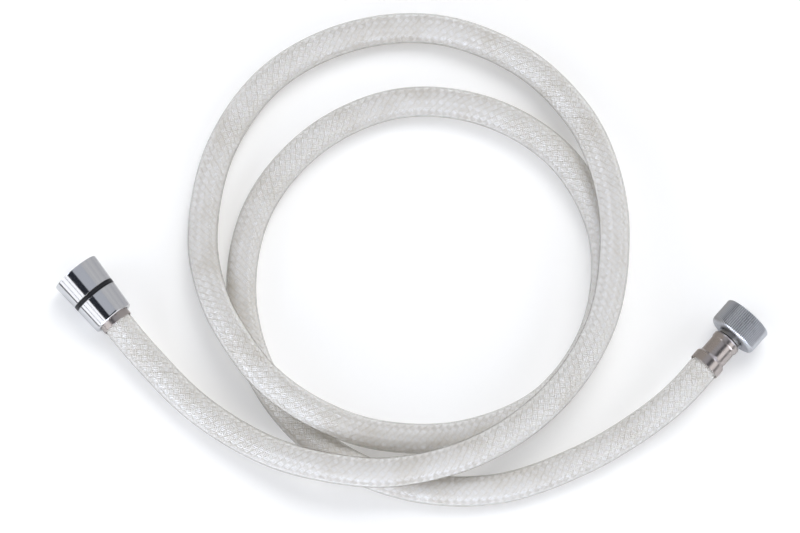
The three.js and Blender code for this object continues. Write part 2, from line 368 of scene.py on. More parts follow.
@dataclass(frozen=True)
class Yarn(Finish):
    """Satin polyester yarn: filaments along it, painted shade at its sides and where it dips under another
    strand.

    Args:
        warm: the colour of the painted shade and of the worn patches.
        pitch: distance along the hose from one float to the next.
        dip: how much of the shade shows where the yarn dips.
        side: how much of it shows at the yarn's sides.
        glow: a painted glow, emission that stands in for the light soaking through the milky tube.
    """

    warm: Colour = (0.5, 0.46, 0.4)
    pitch: float = STRAND_PITCH
    dip: float = 0.8
    side: float = 0.25
    glow: Colour = (0.095, 0.087, 0.075)

    def shade(self, graph: Graph) -> Dict[str, Any]:
        """Painted shade from a cosine along the yarn and a parabola across it, filaments from stretched
        noise.
        """
        along, across = graph.uv()
        under = 0.5 - 0.5 * graph.cosine(along * (2 * np.pi / self.pitch))
        edge = abs(graph.math("FRACT", across) - 0.5) * 2.0
        filaments = graph.noise(graph.stretched("UV", (0.35, 2.8, 1.0)), 2.0, 3.0, 0.6)
        worn = 0.3 * graph.step(graph.clouds(60.0), 0.45, 0.75) + 0.2 * (filaments - 0.5)
        # painted shade where the yarn dips under the other lay and at its sides, with worn patches
        shade = self.dip * under + self.side * edge**2.0 + worn
        return {
            "Base Color": graph.mix(shade, self.colour, self.warm),
            "Roughness": self.roughness + 0.2 * (filaments - 0.5) + 0.2 * under,
            # painted glow: emission that stands in for light soaking through the milky tube
            "Emission Color": (*self.glow, 1.0),
            "Emission Strength": 1.0,
            "Normal": graph.bump(filaments, 0.6, 0.00008),
        }


@dataclass(frozen=True)
class ClearJacket(Finish):
    """Clear soft plastic, slightly raised over the strands.

    It is seen through from the front, milky at a slant, with a painted shade outline where its wall is seen
    edge-on.

    Args:
        body: how much of it shows from the front.
        rim: how much of it shows at a slant.
        strands: strands in each lay of the braid under it.
        lead: distance along the hose in which a strand goes once round it.
        rise: height of the waves over the strands, in metres.
        edge: the colour of the painted shade outline, where the wall is seen edge-on.
    """

    body: float = 0.1
    rim: float = 0.5
    strands: int = STRANDS
    lead: float = STRANDS * STRAND_PITCH
    rise: float = 0.00007
    edge: Colour = (0.12, 0.11, 0.09)

    def surface(self, graph: Graph, inputs: Dict[str, Any]) -> bpy.types.NodeSocket:
        """The clear shader, mixed with a dark dull one where the wall is seen edge-on: a painted shade
        outline.
        """
        # painted shade: a dark outline where the wall is seen edge-on
        dull = {"Base Color": (*self.edge, 1.0), "Roughness": 0.8, "Specular IOR Level": 0.0}
        shaders = {1: super().surface(graph, inputs), 2: super().surface(graph, dull)}
        return graph.node("MixShader", inputs={0: graph.slant() ** 5.0, **shaders}).outputs[0]

    def shade(self, graph: Graph) -> Dict[str, Any]:
        """Alpha from the slant, and waves from noise and from a cosine across the strands of each lay."""
        turn, distance = graph.uv()
        across, along = turn * (2 * np.pi * self.strands), distance * (2 * np.pi * self.strands / self.lead)
        right, left = graph.cosine(across - along), graph.cosine(across + along)
        waves = graph.noise(graph.stretched("UV", (1.0, 0.08, 1.0)), 1.6, 3.0)
        return {
            "Alpha": self.body + (self.rim - self.body) * graph.slant() ** 2.6,
            "Roughness": self.roughness + 0.12 * (waves - 0.4),
            "Normal": graph.bump(waves + 0.9 * right + 0.25 * left, 1.0, self.rise),
        }


JACKET = ClearJacket("clear jacket", (0.96, 0.92, 0.82), 0.1, ior=2.3)
YARN = Yarn("white yarn", (0.9, 0.92, 0.96), 0.2, ior=2.2)
# The left lay is the same yarn as the right, rougher and painted darker: the darker colour is painted shade
# for the lay that catches no glints.
SHADED_LAY_YARN = Yarn("white yarn with painted shade", (0.77, 0.78, 0.8), 0.36, ior=1.6)
# The inner tube is partly its own off-white and partly painted shade: darker and warmer, for the shade in the
# gaps between strands.
INNER_TUBE = Moulded("white inner tube", (0.78, 0.75, 0.68), 0.5, second=(0.84, 0.82, 0.76), grain=900.0)
CHROME = TurnedMetal("chrome", (0.86, 0.87, 0.9), 0.04, 1.0, shadow=(0.82, 0.83, 0.87), cloud=0.03)
KNURL_CHROME = KnurledMetal(
    "knurled chrome", (0.74, 0.76, 0.79), 0.26, 1.0, shadow=(0.7, 0.72, 0.77), cloud=0.08
)
FERRULE_STEEL = TurnedMetal(
    "ferrule steel", (0.57, 0.52, 0.5), 0.26, 1.0, shadow=(0.56, 0.5, 0.46), ring_depth=0.000006
)
# Nickel is partly its own grey and partly painted shade: darker than the metal, for the nut's shade over the
# tail.
NICKEL = TurnedMetal(
    "nickel plate with painted shade", (0.42, 0.41, 0.4), 0.34, 1.0, shadow=(0.45, 0.44, 0.43), ring_depth=0.00001
)
BRASS = TurnedMetal(
    "turned brass", (0.83, 0.66, 0.36), 0.28, 1.0, shadow=(0.66, 0.48, 0.22), ring_depth=0.00001
)
SPRING_STEEL = TurnedMetal("spring steel", (0.6, 0.61, 0.62), 0.3, 1.0, shadow=(0.45, 0.46, 0.5))
BLACK_PLASTIC = Moulded("black plastic", (0.012, 0.012, 0.014), 0.28, ior=1.36, second=(0.02, 0.02, 0.022))
ACETAL = Moulded("acetal", (0.86, 0.85, 0.82), 0.45, second=(0.8, 0.79, 0.75))
RUBBER = Moulded(
    "black rubber", (0.02, 0.02, 0.022), 0.7, second=(0.04, 0.04, 0.042), grain=1800.0, depth=0.00005
)


# Surfaces


def lattice(rows: int, columns: int, closed_rows: bool) -> Tuple[Array, Array]:
    """The four corners of each face of a grid whose columns close on themselves.

    Face (i, j) has the corners (i, j), (i, j+1), (i+1, j+1) and (i+1, j).

    Args:
        rows: number of rows of points.
        columns: number of points in each row.
        closed_rows: whether the last row joins the first.

    Returns:
        The corners' rows and columns, before they wrap round.
    """
    row, column = np.meshgrid(np.arange(rows if closed_rows else rows - 1), np.arange(columns), indexing="ij")
    corner_rows = np.stack([row, row, row + 1, row + 1], -1).reshape(-1, 4)
    corner_columns = np.stack([column, column + 1, column + 1, column], -1).reshape(-1, 4)
    return corner_rows, corner_columns


def signed_volume(points: Array, faces: Array) -> float:
    """The volume inside faces, positive where they point outwards.

    It is the sum of a · (b × c) / 6 over their triangles.

    Args:
        points: points, one a line.
        faces: each face's three or four corners.

    Returns:
        The volume.
    """
    a, b, c = (points[faces[:, k]] for k in range(3))
    volume = np.einsum("ij,ij->", a, np.cross(b, c))
    if faces.shape[1] == 4:
        d = points[faces[:, 3]]
        volume += np.einsum("ij,ij->", a, np.cross(c, d))
    return float(volume) / 6


def put_in_mesh(name: str, points: Array, groups: Sequence[Tuple[Array, Array]]) -> bpy.types.Object:
    """Puts points and faces into a new smooth mesh, turned so that the faces point outwards.

    Args:
        name: the piece's name.
        points: points in millimetres, one a line.
        groups: for each kind of face, its corners' points and its corners' UVs.

    Returns:
        The object, at the origin.
    """
    points = points.reshape(-1, 3)
    if sum(signed_volume(points, faces) for faces, _ in groups) < 0:
        groups = [(faces[:, ::-1], uv[:, ::-1]) for faces, uv in groups]
    sizes = np.concatenate([np.full(len(faces), faces.shape[1]) for faces, _ in groups])
    corners = np.concatenate([faces.ravel() for faces, _ in groups]).astype(np.int32)
    uvs = np.concatenate([uv.reshape(-1, 2) for _, uv in groups]).astype(np.float32)
    mesh = bpy.data.meshes.new(name)
    mesh.vertices.add(len(points))
    mesh.vertices.foreach_set("co", (points * MM).astype(np.float32).ravel())
    mesh.loops.add(len(corners))
    mesh.loops.foreach_set("vertex_index", corners)
    mesh.polygons.add(len(sizes))
    mesh.polygons.foreach_set("loop_start", np.concatenate([[0], np.cumsum(sizes)[:-1]]).astype(np.int32))
    mesh.update(calc_edges=True)
    layer = mesh.uv_layers.new(name="UVMap")
    layer.data.foreach_set("uv", uvs.ravel())
    mesh.shade_smooth()
    mesh.validate()
    made = bpy.data.objects.new(name, mesh)
    bpy.context.scene.collection.objects.link(made)
    return made


def closed_shell(name: str, grid: Array, lengths: Array) -> bpy.types.Object:
    """A closed surface from a grid that joins itself both ways, like a ring's.

    Args:
        name: the piece's name.
        grid: points in millimetres, by row and column.
        lengths: distance of each row along the outline, with the way back to the first row as the last.

    Returns:
        The object. Its UV holds the share of a turn and the distance along the outline.
    """
    rows, columns = grid.shape[:2]
    corner_rows, corner_columns = lattice(rows, columns, True)
    faces = (corner_rows % rows) * columns + corner_columns % columns
    uv = np.stack([corner_columns / columns, lengths[corner_rows]], -1)
    return put_in_mesh(name, grid, [(faces, uv)])


def rounded(
    corners: Sequence[Sequence[float]], radius: Union[float, Sequence[float]], steps: int = 4
) -> Array:
    """A closed outline with its corners rounded off.

    Each corner becomes a curve (1-t)² before + 2t(1-t) corner + t² after, between points on its two edges
    that lie the radius away, or 0.3 of the edge if that is less. One more point on each edge keeps the
    edge flat up to the curve.

    Args:
        corners: pairs of radius and distance along the axis.
        radius: how far each corner is cut back, one for all or one each.
        steps: segments in each curve.

    Returns:
        The outline, one point a line.
    """
    points = np.asarray(corners, float)
    cut = np.broadcast_to(np.asarray(radius, float), (len(points),))
    to_last, to_next = np.roll(points, 1, 0) - points, np.roll(points, -1, 0) - points
    sides = []
    for edge in (to_last, to_next):
        length = np.linalg.norm(edge, axis=1)
        sides.append(edge / length[:, None] * np.minimum(cut, 0.3 * length)[:, None])
    t = np.linspace(0, 1, steps + 1)[None, :, None]
    before, after = (points + side for side in sides)
    curve = (1 - t) ** 2 * before[:, None] + 2 * t * (1 - t) * points[:, None] + t**2 * after[:, None]
    keep = [(points + 1.6 * side)[:, None] for side in sides]
    return np.concatenate([keep[0], curve, keep[1]], axis=1).reshape(-1, 2)


@dataclass(frozen=True)
class Fitting:
    """The place of a fitting: an axis that carries on from the hose's cut end.

    Args:
        cut_end: the hose's cut end, in millimetres.
        along: direction of the axis, outwards.
    """

    cut_end: Tuple[float, float, float]
    along: Tuple[float, float, float]

    @property
    def side(self) -> Array:
        """The level direction across the axis: along × straight up, at length 1."""
        across = np.cross(self.along, (0.0, 0.0, 1.0))
        return across / np.linalg.norm(across)

    def around(self, radius: Array, distance: Array, angle: Array) -> Array:
        """Points round the axis: end + along d + r (side cos a + up sin a), where up is side × along.

        Args:
            radius: distance from the axis.
            distance: distance along it.
            angle: angle round it.

        Returns:
            The points, with x, y and z last.
        """
        up = np.cross(self.side, self.along)
        across = np.cos(angle)[..., None] * self.side + np.sin(angle)[..., None] * up
        forward = distance[..., None] * np.array(self.along)
        return np.array(self.cut_end) + forward + radius[..., None] * across

    def turned(
        self,
        name: str,
        outline: Array,
        columns: int = 120,
        carve: Optional[Callable[[Array, Array, Array], Array]] = None,
    ) -> bpy.types.Object:
        """A turned piece: the outline carried once round the axis.

        Args:
            name: the piece's name.
            outline: closed outline of radius and distance along the axis.
            columns: points round the axis.
            carve: takes radius, distance and angle over the grid and gives the carved radius.

        Returns:
            The piece.
        """
        angle = np.linspace(0, 2 * np.pi, columns, endpoint=False)
        radius = np.repeat(outline[:, :1], columns, 1)
        distance = np.repeat(outline[:, 1:], columns, 1)
        angle = np.broadcast_to(angle, radius.shape)
        if carve is not None:
            radius = carve(radius, distance, angle)
        closed = np.vstack([outline, outline[:1]])
        lengths = np.concatenate([[0], np.cumsum(np.linalg.norm(np.diff(closed, axis=0), axis=1))])
        return closed_shell(name, self.around(radius, distance, angle), lengths)


HANDSET = Fitting((-141.940, -23.631, 10.399), (-0.632904, 0.771496, 0.065003))
MIXER = Fitting((146.713, -41.424, 12.0), (0.656524, 0.754305, 0.0))


def dress(piece: bpy.types.Object, finish: Finish, slot: Slot, body: Body, *nodes: str) -> bpy.types.Object:
    """Gives a piece its finish and its body, and lets it stand for CAD nodes.

    Args:
        piece: the piece.
        finish: its finish.
        slot: the record's slot that it takes its finish from. Not used.
        body: the body that it moves with.
        nodes: the CAD nodes that it stands for.

    Returns:
        The piece.
    """
    piece.data.materials.append(finish.material())
    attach(piece, body.value)
    if nodes:
        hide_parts(*nodes)
    log.info("%s: %d faces, %s", piece.name, len(piece.data.polygons), finish.name)
    return piece


# Hose


@dataclass(frozen=True)
class Route:
    """The centreline of the hose, from its cut end in the cone to its cut end in the other ferrule.

    Args:
        points: x, y and how far each point has climbed from the surface (0) to the top of a strand (1).
        diameter: outside diameter of the hose.
        strand_gap: room between strands that lie on one another.
        ends: heights of the first two and the last two points, which the fittings carry.
        crimps: lengths of hose inside the two fittings.
    """

    points: Tuple[Tuple[float, float, float], ...] = (
        (-137.7, -28.8, 0), (-124, -45.5, 0), (-98, -72, 0.03), (-66, -93, 0.32), (-37, -103.5, 0.9),
        (-7, -106, 1), (33, -95, 1), (67, -70, 1), (89, -34, 1), (95, 9, 1),
        (90, 41, 0.78), (78, 68, 0.34), (53, 94, 0.07), (14, 110, 0.01), (-27, 107, 0),
        (-64, 87, 0), (-88, 52, 0.01), (-96, 10, 0.1), (-91, -20, 0.56), (-80, -43, 0.94),
        (-65.5, -62, 1), (-42.5, -78, 0.88), (-14, -86, 0.32), (25, -85, 0.05), (63, -68, 0.01),
        (86.5, -33, 0), (90, 10, 0), (71, 48, 0), (36, 70.5, 0), (-5, 74.5, 0),
        (-43, 57.5, 0), (-70, 24.5, 0), (-78, -17, 0), (-67, -58.5, 0), (-39.5, -91, 0),
        (-2, -108.5, 0), (40, -110.5, 0.01), (79, -97, 0.03), (107.4, -80.3, 0.14), (124.8, -66.6, 0),
        (138.9, -50.4, 0),
    )  # fmt: skip
    diameter: float = 14.0
    strand_gap: float = 0.5
    ends: Tuple[float, float, float, float] = (9.963, 8.556, 12.0, 12.0)
    crimps: Tuple[float, float] = (6.7, 11.9)

    def through(self, samples: int = 60) -> Array:
        """A centripetal Catmull-Rom curve through the points, with the crimped stretches straight on.

        On each stretch it is c0 + c1 u + c2 u² + c3 u³, where the end slopes come from the neighbours at
        distances that count as their square roots. The end points are mirrored for the first and last.

        Args:
            samples: points on each stretch.

        Returns:
            Points in millimetres, one a line.
        """
        plan = np.array(self.points, float)
        plan[:, 2] = self.diameter / 2 + plan[:, 2] * (self.diameter + self.strand_gap)
        plan[[0, 1, -2, -1], 2] = self.ends
        full = np.vstack([2 * plan[0] - plan[1], plan, 2 * plan[-1] - plan[-2]])
        p0, p1, p2, p3 = full[:-3], full[1:-2], full[2:-1], full[3:]
        steps = ((p0, p1), (p1, p2), (p2, p3))
        d0, d1, d2 = (np.sqrt(np.linalg.norm(b - a, axis=1))[:, None] for a, b in steps)
        slope1 = d1 * ((p1 - p0) / d0 - (p2 - p0) / (d0 + d1) + (p2 - p1) / d1)
        slope2 = d1 * ((p2 - p1) / d1 - (p3 - p1) / (d1 + d2) + (p3 - p2) / d2)
        u = np.linspace(0, 1, samples, endpoint=False)[None, :, None]
        c2 = -3 * p1 + 3 * p2 - 2 * slope1 - slope2
        c3 = 2 * p1 - 2 * p2 + slope1 + slope2
        curve = p1[:, None] + slope1[:, None] * u + c2[:, None] * u**2 + c3[:, None] * u**3
        return np.vstack([HANDSET.cut_end, curve.reshape(-1, 3), plan[-1], MIXER.cut_end])


class Centreline:
    """The hose's centreline by length, and the surfaces round it."""

    def __init__(self, route: Route) -> None:
        """Measures the route and works out its directions.

        The side direction is the tangent crossed with straight up, and the top direction is square to both.
        """
        line = route.through()
        distance = np.concatenate([[0], np.cumsum(np.linalg.norm(np.diff(line, axis=0), axis=1))])
        self.length = float(distance[-1])
        self.at = np.linspace(0, self.length, 3001)
        self.points = np.stack([np.interp(self.at, distance, line[:, k]) for k in range(3)], -1)
        tangent = np.gradient(self.points, self.at, axis=0)
        tangent /= np.linalg.norm(tangent, axis=1)[:, None]
        side = np.cross(tangent, (0.0, 0.0, 1.0))
        self.side = side / np.linalg.norm(side, axis=1)[:, None]
        self.top = np.cross(self.side, tangent)

    def _look_up(self, table: Array, distance: Array) -> Array:
        """Values of a table of vectors at distances along the hose."""
        return np.stack([np.interp(distance, self.at, table[:, k]) for k in range(3)], -1)

    def around(self, distance: Array, radius: Array, angle: Array) -> Array:
        """Points round the hose: centre(d) + r (side(d) cos a + top(d) sin a)."""
        side, top = self._look_up(self.side, distance), self._look_up(self.top, distance)
        across = side * np.cos(angle)[..., None] + top * np.sin(angle)[..., None]
        return self._look_up(self.points, distance) + radius[..., None] * across

    def path(self, count: int = 760) -> List[List[float]]:
        """The centreline in metres, as evenly spaced points."""
        return (self._look_up(self.points, np.linspace(0, self.length, count)) * MM).tolist()


@dataclass
class BraidedHose:
    """The hose: a clear jacket, a braid of white yarn in two lays, and a white inner tube.

    Args:
        route: how it lies.
        jacket: outer and inner radius of the jacket.
        tube: outer and inner radius of the inner tube.
        crimped_jacket: the jacket's radii inside the fittings.
        crimped_tube: the inner tube's radii inside the fittings.
        neck: length over which it is pressed in.
        strands: strands in each lay.
        ends: yarns side by side in a strand.
        pitch: distance along the hose between strands of one lay.
        braid_radius: middle radius of the braid.
        weave_height: how far a strand rises over and sinks under the others.
        flat: half of the flat top over a crossing, as a share of the way to the next one.
        yarn_half_width: half the width of a yarn.
        yarn_height: heights of a yarn's crown and of its edges over its middle.
        packing: distance between yarns, as a share of their width.
        waves: lengths of the slow waves in the lie of a strand.
        sway: how far those turn it round the hose, in radians.
        swell: how much the weave's height changes, and the length of that change.
        seed: start of the irregularities.
    """

    route: Route = Route()
    jacket: Tuple[float, float] = (7.0, 6.62)
    tube: Tuple[float, float] = (5.72, 4.2)
    crimped_jacket: Tuple[float, float] = (5.85, 5.0)
    crimped_tube: Tuple[float, float] = (4.9, 3.95)
    neck: float = 0.9
    strands: int = STRANDS
    ends: int = 3
    pitch: float = STRAND_PITCH
    braid_radius: float = 6.02
    weave_height: float = 0.27
    flat: float = 0.24
    yarn_half_width: float = 0.412
    yarn_height: Tuple[float, float] = (0.24, -0.06)
    packing: float = 0.98
    waves: Tuple[float, float, float] = (173.0, 61.0, 29.0)
    sway: float = 0.012
    swell: Tuple[float, float] = (0.12, 7.3)
    seed: int = 5

    def __post_init__(self) -> None:
        """Measures the centreline and finds where the fittings end on it."""
        self.line = Centreline(self.route)
        self.first = self.route.crimps[0]
        self.last = self.line.length - self.route.crimps[1]

    def _pressed(self, distance: Array, free: float, crimped: float) -> Array:
        """A radius between the fittings and inside them, with the smooth change 3s² - 2s³ at each.

        Args:
            distance: distance along the hose.
            free: the radius between the fittings.
            crimped: the radius inside them.

        Returns:
            The radius at each distance.
        """
        rise = np.clip((distance - self.first + self.neck) / self.neck, 0, 1)
        fall = np.clip((self.last + self.neck - distance) / self.neck, 0, 1)
        share = np.minimum(rise, fall)
        return crimped + (free - crimped) * (share * share * (3 - 2 * share))

    def wall(
        self, name: str, free: Tuple[float, float], crimped: Tuple[float, float], columns: int, spacing: float
    ) -> bpy.types.Object:
        """One wall of the hose: out along its outside and back along its bore.

        Args:
            name: the piece's name.
            free: outer and inner radius between the fittings.
            crimped: outer and inner radius inside them.
            columns: points round the hose.
            spacing: distance between rows.

        Returns:
            The piece.
        """
        length = self.line.length
        bends = np.linspace(-1.2, 0.4, 9)
        even = np.linspace(0, length, int(length / spacing))
        rows = np.unique(np.concatenate([even, self.first + bends, self.last - bends]))
        walls = [self._pressed(rows, free[k], crimped[k]) for k in range(2)]
        distance = np.concatenate([rows, rows[::-1]])
        radius = np.concatenate([walls[0], walls[1][::-1]])
        angle = np.linspace(0, 2 * np.pi, columns, endpoint=False)
        grid = self.line.around(*np.broadcast_arrays(distance[:, None], radius[:, None], angle))
        return closed_shell(name, grid, np.concatenate([distance, [0.0]]))

    def braid(self, name: str, lay: Lay, strands: Sequence[int]) -> bpy.types.Object:
        """Some strands of one lay of the braid.

        A strand's middle is at the angle 2π (lay d / lead + i / strands), and its radius goes up and down
        by the weave's height at every other crossing, with a flat top over each. Each yarn beside it is
        shifted square to the strand on the unrolled hose, and has a section of three points: two edges and
        a crown. Slow waves with seeded phases make the strands a little uneven.

        Args:
            name: the piece's name.
            lay: which way the strands wind.
            strands: numbers of the strands.

        Returns:
            The piece.
        """
        way = lay.value
        random = np.random.default_rng(self.seed + way)
        crossing = self.pitch / 2
        first, last = self.first - self.neck, self.last + self.neck
        crossings = np.arange(int(np.ceil(first / crossing)) + 1, int(np.floor(last / crossing)))
        distance = (crossings[:, None] + np.array([-self.flat, self.flat])).ravel() * crossing
        over = np.repeat(np.where(crossings % 2 == 0, way, -way), 2)
        lead = self.pitch * self.strands
        slant = np.arctan2(2 * np.pi * self.braid_radius, lead)
        chosen = np.asarray(strands)
        phases = random.uniform(0, 2 * np.pi, (self.strands, 4))[chosen]
        slow = sum(
            np.sin(2 * np.pi * distance / wave + phases[:, k : k + 1]) for k, wave in enumerate(self.waves)
        )
        angle = 2 * np.pi * (way * distance / lead + chosen[:, None] / self.strands) + self.sway * slow
        swell = 1 + self.swell[0] * np.sin(distance / self.swell[1] + phases[:, 3:4])
        lift = self.weave_height * over * swell
        half = self.yarn_half_width
        crown, edge = self.yarn_height
        beside = (np.arange(self.ends) - (self.ends - 1) / 2) * 2 * half * self.packing
        shift = (beside[:, None] + np.array([-half, 0.0, half]))[None, :, None, :]
        along = np.clip(distance[:, None] - way * shift * np.sin(slant), first, last)
        turn = angle[:, None, :, None] + shift * np.cos(slant) / self.braid_radius
        radius = self.braid_radius + lift[:, None, :, None] + np.array([edge, crown, edge])
        along, turn, radius = np.broadcast_arrays(along, turn, radius)
        grid = self.line.around(along, radius, turn)
        count, steps, across = len(chosen) * self.ends, len(distance), grid.shape[3]
        corner_rows, corner_columns = lattice(steps, across, False)
        starts = (np.arange(count) * steps * across)[:, None, None]
        sides = corner_rows * across + corner_columns % across + starts
        phase = distance + (0.0 if way > 0 else crossing)
        uv = np.stack([phase[corner_rows], 0.05 + 0.45 * corner_columns], -1)
        uv = uv + np.arange(count)[:, None, None, None] * np.array([0.0, 1.0])
        end = (steps - 1) * across
        caps = (np.array([[2, 1, 0], [end, end + 1, end + 2]]) + starts).reshape(-1, 3)
        groups = [(sides.reshape(-1, 4), uv.reshape(-1, 4, 2)), (caps, np.zeros((len(caps), 3, 2)))]
        return put_in_mesh(name, grid, groups)

    def build(self, on_it: Sequence[bpy.types.Object]) -> None:
        """Args:
            on_it: pieces at the mixer's end. Not used.
        """
        jacket = self.wall("hose_jacket", self.jacket, self.crimped_jacket, 44, 2.5)
        dress(jacket, JACKET, Slot.HOSE, Body.HOSE, "hose")
        tube = self.wall("hose_inner_tube", self.tube, self.crimped_tube, 24, 5.0)
        inside = [dress(tube, INNER_TUBE, Slot.HOSE, Body.HOSE)]
        half = self.strands // 2
        # the left lay's yarn carries painted shade, so that only the right lay looks lit
        for lay, word, yarn in ((Lay.RIGHT, "right", YARN), (Lay.LEFT, "left", SHADED_LAY_YARN)):
            for number, strands in enumerate((range(half), range(half, self.strands)), 1):
                braid = self.braid(f"hose_braid_{word}_{number}", lay, strands)
                inside.append(dress(braid, yarn, Slot.HOSE, Body.HOSE))
        exit_point = [float(x) * MM for x in self.route.through()[1]]
        self.line.path()


# Fittings


def washer(inner: float, outer: float, rear: float, front: float) -> Array:
    """A washer's outline: a rectangle with worn edges."""
    return rounded([(inner, rear), (outer, rear), (outer, front), (inner, front)], 0.12)


@dataclass(frozen=True)
class Barbs:
    """The barbs on a tail, which hold the hose.

    Args:
        count: number of barbs.
        root: radius between them.
        tip: radius at their tips.
        pitch: distance from one to the next.
        rise: share of the pitch over which a barb rises.
        end: place where the last one ends.
    """

    count: int
    root: float = 3.15
    tip: float = 3.65
    pitch: float = 2.4
    rise: float = 0.75
    end: float = 0.3

    def outline(self, waterway: float, rear: float) -> List[Tuple[float, float]]:
        """From the waterway over the barbs to the rear of what follows them."""
        first = self.end - self.count * self.pitch
        tooth = ((self.root, 0.0), (self.tip, self.rise))
        roots = [first + k * self.pitch for k in range(self.count)]
        teeth = [(radius, place + share * self.pitch) for place in roots for radius, share in tooth]
        return [(waterway, first), *teeth, (self.root, self.end), (self.root, rear)]


@dataclass(frozen=True)
class PipeThread:
    """The G 1/2 thread inside a nut.

    Args:
        crest: radius of the crests, which is the bore.
        depth: depth of the thread.
        pitch: distance between turns.
        run: distance over which it fades at each end.
        lead_in: size of the chamfer at the nut's mouth.
    """

    crest: float = 9.3
    depth: float = 1.16
    pitch: float = 1.814
    run: float = 0.9
    lead_in: float = 0.85

    def rows(self, web: float, mouth: float) -> Array:
        """Rows of the bore from the chamfer at the mouth to the web, eight to a turn."""
        start, end = mouth - 1.2, web + 0.4
        count = int(abs(end - start) / self.pitch * 8) + 1
        return np.stack([np.full(count, self.crest), np.linspace(start, end, count)], -1)

    def cut(self, radius: Array, distance: Array, angle: Array, web: float, mouth: float) -> Array:
        """How deep the thread cuts: a right-handed cosine in d / pitch - a / 2π, which fades at both ends.

        Args:
            radius: radius of the blank, of which only the bore is cut.
            distance: distance along the axis.
            angle: angle round it.
            web: front of the nut's web.
            mouth: place of its mouth.

        Returns:
            The depth at each point.
        """
        start, end = web + 0.5, mouth - 0.3
        wave = 0.5 + 0.5 * np.cos(2 * np.pi * distance / self.pitch - angle)
        fade = np.clip((distance - start) / self.run, 0, 1) * np.clip((end - distance) / self.run, 0, 1)
        in_bore = (np.abs(radius - self.crest) < 0.9) & (distance > web + 0.45)
        return self.depth * wave**1.3 * fade * fade * (3 - 2 * fade) * in_bore


@dataclass(frozen=True)
class Ferrule:
    """A ferrule: a flared mouth over the full hose, a crimped neck, a rolled bead and a lip behind the tail.

    Args:
        crimp: length of hose inside the neck.
        flare: inner radius and length of the flare.
        wall: thickness of the metal.
        neck: outer radius of the neck.
        bead: outer radius and length of the bead.
        roll: radius of the front edge.
        front: place of the front face.
        lip: inner radius of the lip.
        gap: clearance.
    """

    crimp: float
    flare: Tuple[float, float] = (7.3, 4.3)
    wall: float = 0.4
    neck: float = 6.55
    bead: Tuple[float, float] = (7.0, 2.2)
    roll: float = 1.2
    front: float = 1.1
    lip: float = 3.65
    gap: float = 0.3

    def outline(self) -> Array:
        """Outline from the flare's rim along the outside and back along the inside."""
        rear, step = -self.crimp - self.flare[1], -self.crimp + self.gap
        out, inside = self.flare[0] + self.wall, self.neck - self.wall
        bead, blend = self.bead[0], self.wall
        roll = self.front - self.roll
        table = np.array([
            (self.flare[0], rear, 0.12), (out, rear, 0.18), (out, step, 0.45),
            (self.neck, step + self.roll, 0.45), (self.neck, roll - self.bead[1] - blend, 0.35),
            (bead, roll - self.bead[1] + blend, 0.35),
            (bead, roll, 0.1), (bead - 0.35, self.front - 0.35, 0.45), (bead - self.roll, self.front, 0.1),
            (self.lip, self.front, 0.15), (self.lip, self.gap, 0.1), (inside, self.gap, 0.1),
            (inside, step + self.roll, 0.3), (self.flare[0], step, 0.3),
        ])  # fmt: skip
        return rounded(table[:, :2], table[:, 2])


